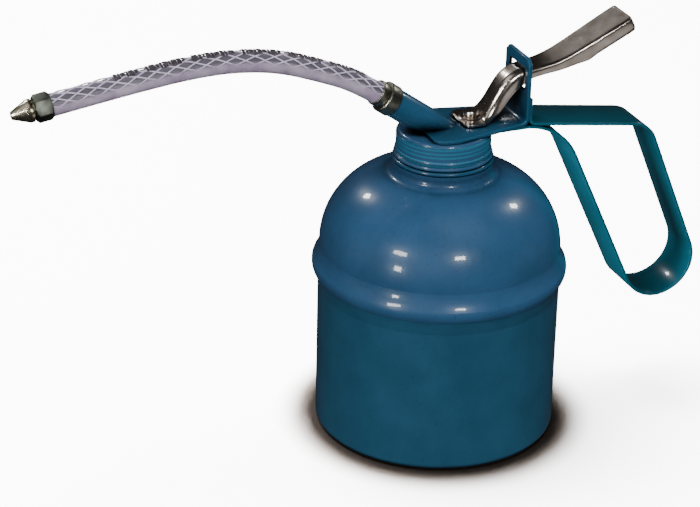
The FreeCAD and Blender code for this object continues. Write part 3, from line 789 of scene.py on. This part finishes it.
def rim_bulge(height):
    """How far the two rolled rings at the foot stand out at that height."""
    above = (height - cap_low) / MM
    for (low, inner), (high, outer) in zip(rim_outline, rim_outline[1:]):
        if low <= above <= high:
            share = (above - low) / (high - low)
            return (inner + (outer - inner) * (3 - 2 * share) * share**2) * MM
    return 0.0


def thread_bulge(height, turn):
    """How far the rolled thread stands out at that height and angle."""
    along = (height - cap_low - THREAD_START) / CAP_PITCH - turn
    if not 0 <= along <= THREAD_TURNS:
        return 0.0
    fade = min(1.0, along / THREAD_FADE, (THREAD_TURNS - along) / THREAD_FADE)
    return CAP_CREST * fade * (0.5 - 0.5 * math.cos(2 * math.pi * along)) ** 0.8


def cap_radius(height, turn):
    """The cap's outside at that height and angle."""
    from_top = cap_high - height
    if from_top < ROUNDING:
        drop = ROUNDING - from_top
        return CAP_ROOT_R - ROUNDING + math.sqrt(max(0.0, ROUNDING**2 - drop**2))
    return CAP_ROOT_R + rim_bulge(height) + thread_bulge(height, turn)


side_heights = [cap_low + (cap_high - ROUNDING - cap_low) * step / CAP_ROWS for step in range(CAP_ROWS)]
corner_heights = [
    cap_high - ROUNDING + ROUNDING * math.sin(math.radians(degrees)) for degrees in range(0, 90, 10)
]
top_height = cap_high - 0.0001 * MM
cap_shape = lathe_grid(cap_radius, side_heights + corner_heights + [top_height], CAP_SIDES)
top_edges = [edge for edge in open_edges(cap_shape) if edge.verts[0].co.z > cap_high - 0.001 * MM]
bmesh.ops.holes_fill(cap_shape, edges=top_edges)
shrink = 1 - CAP_SHEET / CAP_ROOT_R
for vertex in new_points(bmesh.ops.extrude_edge_only(cap_shape, edges=open_edges(cap_shape))):
    vertex.co.x *= shrink
    vertex.co.y *= shrink
for vertex in new_points(bmesh.ops.extrude_edge_only(cap_shape, edges=open_edges(cap_shape))):
    vertex.co.z = cap_high - CAP_TOP
bmesh.ops.holes_fill(cap_shape, edges=open_edges(cap_shape))
bmesh.ops.recalc_face_normals(cap_shape, faces=cap_shape.faces)
cap_mesh = mesh_from(cap_shape, "cap")
smooth(cap_mesh, 50)
cap = link("cap", cap_mesh)
paint_over(cap, cap_enamel_painted_light)
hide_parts("screw_cap")
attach(cap, "head")

# Bracket, handle and turned fittings ---------------------------------------------------------------------
# Sheet and strip are cut, bent and welded, and their cut edges are tumbled round before painting.
# The nut, the collar and the tip are turned from bar, with a broken edge at each corner.


def softened(node, name, body, width, finish):
    """A copy of a CAD piece with its sharp edges rounded."""
    shape = bmesh.new()
    shape.from_mesh(nodes[node].data)
    bmesh.ops.remove_doubles(shape, verts=shape.verts, dist=0.001 * MM)
    bmesh.ops.dissolve_limit(shape, angle_limit=math.radians(0.5), verts=shape.verts, edges=shape.edges)
    piece = link(name, mesh_from(shape, name))
    rounding = piece.modifiers.new("rounding", "BEVEL")
    rounding.width = width
    rounding.segments = 2
    rounding.limit_method = "ANGLE"
    rounding.angle_limit = math.radians(35)
    rounding.use_clamp_overlap = True
    rounding.harden_normals = False
    made_plain(piece)
    smooth(piece.data, 40)
    paint_over(piece, finish)
    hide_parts(node)
    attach(piece, body)
    return piece


softened("bracket", "slotted_bracket", "head", 0.3 * MM, edge_enamel)
softened("handle", "loop_handle", "head", 0.3 * MM, handle_enamel)
softened("spout_stub", "slanted_stub", "head", 0.2 * MM, edge_enamel)
softened("hose_nut", "spout_nut", "head", 0.18 * MM, olive_steel)
softened("hose_collar", "crimped_collar", "head", 0.35 * MM, olive_steel)
nozzle_nut = softened("tip_nut", "nozzle_nut", "head", 0.15 * MM, tip_steel)
tapered_nozzle = softened("nozzle", "tapered_nozzle", "head", 0.12 * MM, pale_brass)

# Lever ----------------------------------------------------------------------------------------------------
# The lever is one pressing of nickel-plated sheet: a flat tongue under the plunger's round head, a
# narrow channel up through the slot, and a wide thumb end with its edges rolled under.

LEVER_SHEET = 1.0 * MM
# Along the lever: place of the middle of the top (X and Z), slope in degrees, half width, depth of the
# sides, width of the lip under them, and radii of the top and lower corners.
lever_stations = [
    (12.6, 123.55, 4, 7.4, 1.0, 0.0, 0.5, 0.3),
    (13.7, 124.0, 38, 6.6, 1.5, 0.0, 0.9, 0.3),
    (14.9, 125.6, 60, 5.9, 2.6, 0.0, 1.8, 0.4),
    (17.0, 129.3, 62, 5.3, 4.4, 0.0, 2.9, 0.4),
    (20.6, 135.3, 55, 5.3, 5.2, 0.0, 3.1, 0.4),
    (23.6, 138.8, 40, 5.3, 5.6, 0.0, 3.1, 0.4),
    (27.4, 140.9, 17, 5.3, 5.4, 0.0, 2.9, 0.4),
    (31.5, 141.6, 7, 5.4, 4.5, 0.0, 2.3, 0.5),
    (37.3, 142.2, 9, 5.8, 3.9, 0.6, 1.6, 0.8),
    (43.4, 143.6, 18, 6.4, 4.3, 1.0, 1.3, 0.9),
    (48.5, 145.7, 24, 6.7, 5.2, 1.6, 1.2, 1.0),
    (52.0, 147.4, 26.5, 6.9, 6.3, 2.4, 1.2, 1.2),
    (53.6, 148.2, 27, 7.0, 6.6, 2.9, 1.2, 1.5),
    (57.0, 149.9, 27, 7.2, 6.4, 3.2, 1.2, 2.0),
    (64.0, 153.5, 27, 7.5, 6.4, 3.4, 1.2, 2.2),
    (70.4, 156.7, 27, 7.7, 6.3, 3.4, 1.2, 2.3),
    (71.5, 157.3, 27, 7.4, 6.1, 3.2, 1.2, 2.3),
    (72.0, 157.5, 27, 6.7, 5.6, 2.6, 1.2, 2.3),
]


def through_points(before, here, after, beyond, share):
    """A smooth curve from here to after, led by the points on each side of them."""
    squared, cubed = share**2, share**3
    return tuple(
        0.5 * (
            2 * b
            + (c - a) * share
            + (2 * a - 5 * b + 4 * c - d) * squared
            + (3 * b - a - 3 * c + d) * cubed
        )
        for a, b, c, d in zip(before, here, after, beyond)
    )


def channel_section(half, deep, lip, top_r, low_r):
    """Half an outline of the channel, from its middle to the end of its lip, as (sideways, up)."""
    outline = [(0.0, 0.0), ((half - top_r) * 0.5, 0.0)]
    for degrees in range(90, -1, -15):
        turn = math.radians(degrees)
        outline.append((half - top_r + top_r * math.cos(turn), -top_r + top_r * math.sin(turn)))
    outline.append((half, -(top_r + deep - low_r) / 2))
    for degrees in range(0, -91, -15):
        turn = math.radians(degrees)
        outline.append((half - low_r + low_r * math.cos(turn), -deep + low_r + low_r * math.sin(turn)))
    outline.append((half - low_r - lip * 0.5, -deep))
    outline.append((half - low_r - lip, -deep))
    return outline


lever_shape = bmesh.new()
STEPS_BETWEEN = 8
last = len(lever_stations) - 1
rows = []
for number in range(last):
    steps = STEPS_BETWEEN + (1 if number == last - 1 else 0)
    around_here = [lever_stations[min(max(number + offset, 0), last)] for offset in (-1, 0, 1, 2)]
    for step in range(steps):
        x, z, slope, half, deep, lip, top_r, low_r = through_points(*around_here, step / STEPS_BETWEEN)
        turn = math.radians(slope)
        normal = Vector((-math.sin(turn), 0, math.cos(turn)))
        side = channel_section(half, deep, max(lip, 0.0), top_r, low_r)
        outline = [(-y, up) for y, up in reversed(side[1:])] + side
        rows.append([
            lever_shape.verts.new((Vector((x, y, z)) + normal * up) * MM) for y, up in outline
        ])
join_rows(lever_shape, rows)
bmesh.ops.recalc_face_normals(lever_shape, faces=lever_shape.faces)
on_top = Vector((40, 0, 143)) * MM
middle = min(lever_shape.faces, key=lambda face: (face.calc_center_median() - on_top).length)
if middle.normal.z < 0:
    bmesh.ops.reverse_faces(lever_shape, faces=lever_shape.faces)
channel = link("thumb_lever", mesh_from(lever_shape, "thumb_lever"))
sheet = channel.modifiers.new("sheet", "SOLIDIFY")
sheet.thickness = LEVER_SHEET * 0.9
sheet.offset = -1
rounding = channel.modifiers.new("rounding", "BEVEL")
rounding.width = 0.2 * MM
rounding.segments = 2
rounding.angle_limit = math.radians(50)
made_plain(channel)

# The tongue: a flat tab with rounded corners, and a shallow raised ring that the rod's head sits in.
tongue_low = 122.5 * MM
# Each corner's centre (X and Y), its radius, and the angle its arc starts from.
tab_corners = [
    (8.6, -5.0, 3.0, 180),
    (12.9, -6.8, 1.2, 270),
    (12.9, 6.8, 1.2, 0),
    (8.6, 5.0, 3.0, 90),
]
CORNER_STEPS = 8
tab_shape = bmesh.new()
tab_points = []
for corner_x, corner_y, radius, first in tab_corners:
    for step in range(CORNER_STEPS + 1):
        turn = math.radians(first + 90 * step / CORNER_STEPS)
        x, y = corner_x + radius * math.cos(turn), corner_y + radius * math.sin(turn)
        tab_points.append(tab_shape.verts.new(Vector((x, y, 0)) * MM + Vector((0, 0, tongue_low))))
tab_face = tab_shape.faces.new(tab_points)
for vertex in new_points(bmesh.ops.extrude_face_region(tab_shape, geom=[tab_face])):
    vertex.co.z += LEVER_SHEET
bmesh.ops.recalc_face_normals(tab_shape, faces=tab_shape.faces)
corners = [edge for edge in tab_shape.edges if edge.calc_face_angle(0) > math.radians(60)]
bmesh.ops.bevel(tab_shape, geom=corners, offset=0.25 * MM, segments=2, affect="EDGES")
tab_shape.from_mesh(channel.data)
ring_place = Vector((10.85 * MM, 0, tongue_low + LEVER_SHEET))
# Radius and height above the tab, from the ring's outer foot to its inner one.
ring_profile = [(4.9, -0.1), (4.7, 0.12), (4.4, 0.24), (4.0, 0.34), (3.5, 0.35), (3.1, 0.25), (2.9, 0.05)]
RING_STEPS = 48
ring_rows = []
for radius, up in ring_profile:
    row = []
    for step in range(RING_STEPS):
        turn = 2 * math.pi * step / RING_STEPS
        place = Vector((radius * math.cos(turn), radius * math.sin(turn), up))
        row.append(tab_shape.verts.new(ring_place + place * MM))
    ring_rows.append(row)
join_rows(tab_shape, ring_rows, closed=True)
channel.data = mesh_from(tab_shape, "thumb_lever_whole")
smooth(channel.data, 40)
paint_over(channel, nickel)
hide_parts("lever")
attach(channel, "thumb_lever")

bpy.context.view_layer.update()

# Which lamps reach which pieces goes by the finish of each.
for piece in bpy.data.objects:
    if piece.type != "MESH" or piece == floor:
        continue
    finish = piece.data.materials[0]
    if finish in (nickel, olive_steel, tip_steel, pale_brass):
        fittings_only.objects.link(piece)
    (handle_only if finish == handle_enamel else all_but_handle).objects.link(piece)
